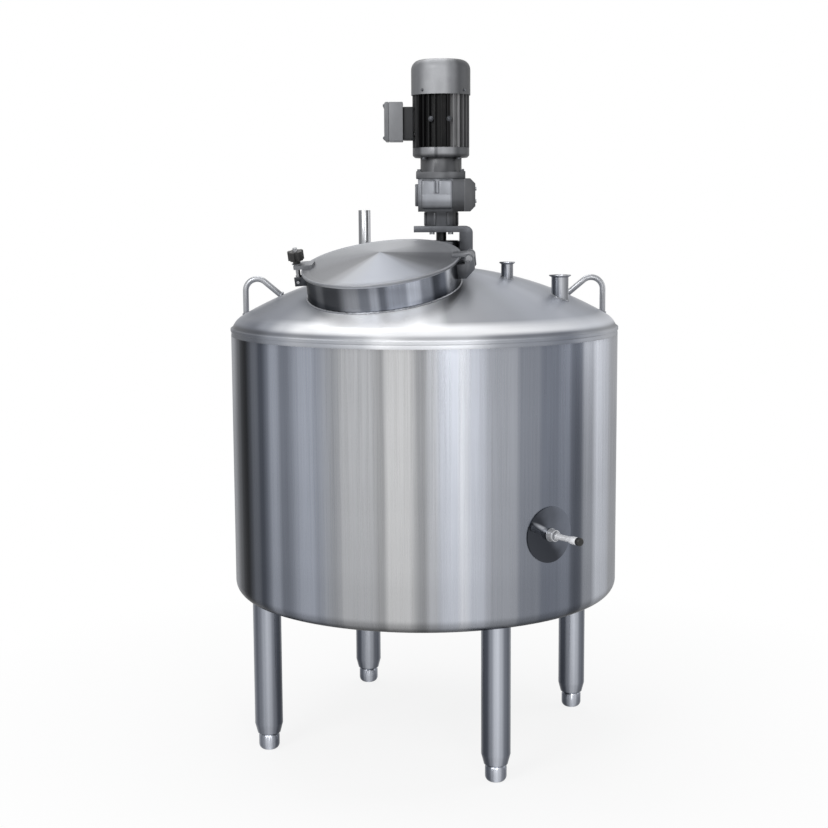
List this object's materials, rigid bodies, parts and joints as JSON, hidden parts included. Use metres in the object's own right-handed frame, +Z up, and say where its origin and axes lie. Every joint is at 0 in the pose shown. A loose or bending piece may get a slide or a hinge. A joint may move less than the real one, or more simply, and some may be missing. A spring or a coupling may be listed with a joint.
{
  "type": "syrup preparation tank",
  "caption": "Insulated round stainless tank on legs, with a hinged manway lid on its dished head, a vertical geared motor and an agitator.",
  "frame": {"origin": "floor level on the tank's axis", "axes": "+Z up along the tank's axis, -Y towards the front where the side port and manway lie, +X to the right"},
  "size_m": [1.063, 1.063, 1.862],
  "materials": {
    "cladding_steel": "brushed, bright",
    "head_steel": "ground, bright",
    "lid_steel": "circular brushed",
    "polished_steel": "polished",
    "leg_steel": "satin",
    "foot_steel": "turned",
    "pad_steel": "dull, heat darkened",
    "vessel_steel": "satin",
    "bracket_steel": "satin",
    "pin_steel": "turned",
    "gear_steel": "ground",
    "bearing_steel": "polished",
    "core_iron": "varnished",
    "gearbox_paint": "silver-grey paint",
    "cowl_paint": "light grey paint",
    "frame_paint": "dark grey paint",
    "black_plastic": "moulded",
    "fan_plastic": "moulded",
    "seal_rubber": "soft, off-white silicone",
    "mineral_wool": "pressed fibres"
  },
  "bodies": {
    "tank": {"cable_gland": "black_plastic", "charge_nozzle": "polished_steel", "clamp_bracket": "bracket_steel", "clamp_pin": "pin_steel", "countershaft_bearings": "bearing_steel", "drive_bracket": "bracket_steel", "drive_screws": "pin_steel", "fan_cowl": "cowl_paint", "front_end_shield": "frame_paint", "gearbox_housing": "gearbox_paint", "gearbox_side_cover": "gearbox_paint", "hinge_bracket": "bracket_steel", "hinge_pin": "pin_steel", "inner_vessel": "vessel_steel", "input_flange": "gearbox_paint", "jacket_bottom": "cladding_steel", "jacket_wall": "cladding_steel", "leg_back_left": "leg_steel", "leg_back_right": "leg_steel", "leg_front_left": "leg_steel", "leg_front_right": "leg_steel", "lifting_lug_left": "polished_steel", "lifting_lug_right": "polished_steel", "manway_collar": "polished_steel", "motor_bearings": "bearing_steel", "motor_frame": "frame_paint", "outlet_pipe": "polished_steel", "output_bearings": "bearing_steel", "port_pad": "pad_steel", "probe_cap": "black_plastic", "rear_end_shield": "frame_paint", "seal_housing": "bracket_steel", "seal_neck": "polished_steel", "spray_nozzle": "polished_steel", "stator_core": "core_iron", "temperature_probe": "polished_steel", "terminal_box": "cowl_paint", "terminal_cover": "cowl_paint", "thermowell": "polished_steel", "top_head": "head_steel", "vent_pipe": "polished_steel", "wall_insulation": "mineral_wool"},
    "lid": {"lid": "lid_steel", "lid_gasket": "seal_rubber", "lid_hinge_arm": "bracket_steel"},
    "swing_bolt": {"swing_bolt": "pin_steel"},
    "clamp_knob": {"clamp_knob": "black_plastic"},
    "agitator": {"agitator_shaft": "vessel_steel", "impeller": "vessel_steel", "output_shaft": "gear_steel", "output_wheel": "gear_steel"},
    "countershaft": {"countershaft": "gear_steel", "countershaft_wheel": "gear_steel"},
    "rotor": {"rotor_shaft": "gear_steel", "rotor_core": "core_iron", "cooling_fan": "fan_plastic"},
    "foot_front_right": {"foot_front_right": "foot_steel"},
    "foot_front_left": {"foot_front_left": "foot_steel"},
    "foot_back_left": {"foot_back_left": "foot_steel"},
    "foot_back_right": {"foot_back_right": "foot_steel"}
  },
  "joints": [
    {"name": "lid_open", "type": "hinge", "parent": "tank", "child": "lid", "pos_m": [0.11811, -0.28302, 1.34306], "axis": [0.1259, 0.9603, 0.2488], "range_deg": [0, 100]},
    {"name": "bolt_swing", "type": "hinge", "parent": "tank", "child": "swing_bolt", "pos_m": [-0.32637, -0.20837, 1.27977], "axis": [-0.1259, -0.9603, -0.2488], "range_deg": [0, 100]},
    {"name": "knob_turn", "type": "hinge", "parent": "swing_bolt", "child": "clamp_knob", "pos_m": [-0.33268, -0.22256, 1.33772], "axis": [-0.1053, -0.2364, 0.9659], "continuous": true},
    {"name": "agitator_spin", "type": "hinge", "parent": "tank", "child": "agitator", "pos_m": [0.048, 0, 1.4], "axis": [0, 0, 1], "continuous": true},
    {"name": "countershaft_spin", "type": "hinge", "parent": "tank", "child": "countershaft", "pos_m": [0.093, 0, 1.5], "axis": [0, 0, 1], "continuous": true},
    {"name": "rotor_spin", "type": "hinge", "parent": "tank", "child": "rotor", "pos_m": [0.048, 0, 1.7], "axis": [0, 0, 1], "continuous": true},
    {"name": "foot_front_right_screw", "type": "slide", "parent": "tank", "child": "foot_front_right", "axis": [0, 0, -1], "range_m": [0, 0.025]},
    {"name": "foot_front_left_screw", "type": "slide", "parent": "tank", "child": "foot_front_left", "axis": [0, 0, -1], "range_m": [0, 0.025]},
    {"name": "foot_back_left_screw", "type": "slide", "parent": "tank", "child": "foot_back_left", "axis": [0, 0, -1], "range_m": [0, 0.025]},
    {"name": "foot_back_right_screw", "type": "slide", "parent": "tank", "child": "foot_back_right", "axis": [0, 0, -1], "range_m": [0, 0.025]}
  ],
  "couplings": [
    {"joint": "countershaft_spin", "follows": "agitator_spin", "ratio": -2.75},
    {"joint": "rotor_spin", "follows": "agitator_spin", "ratio": 9.9423}
  ]
}
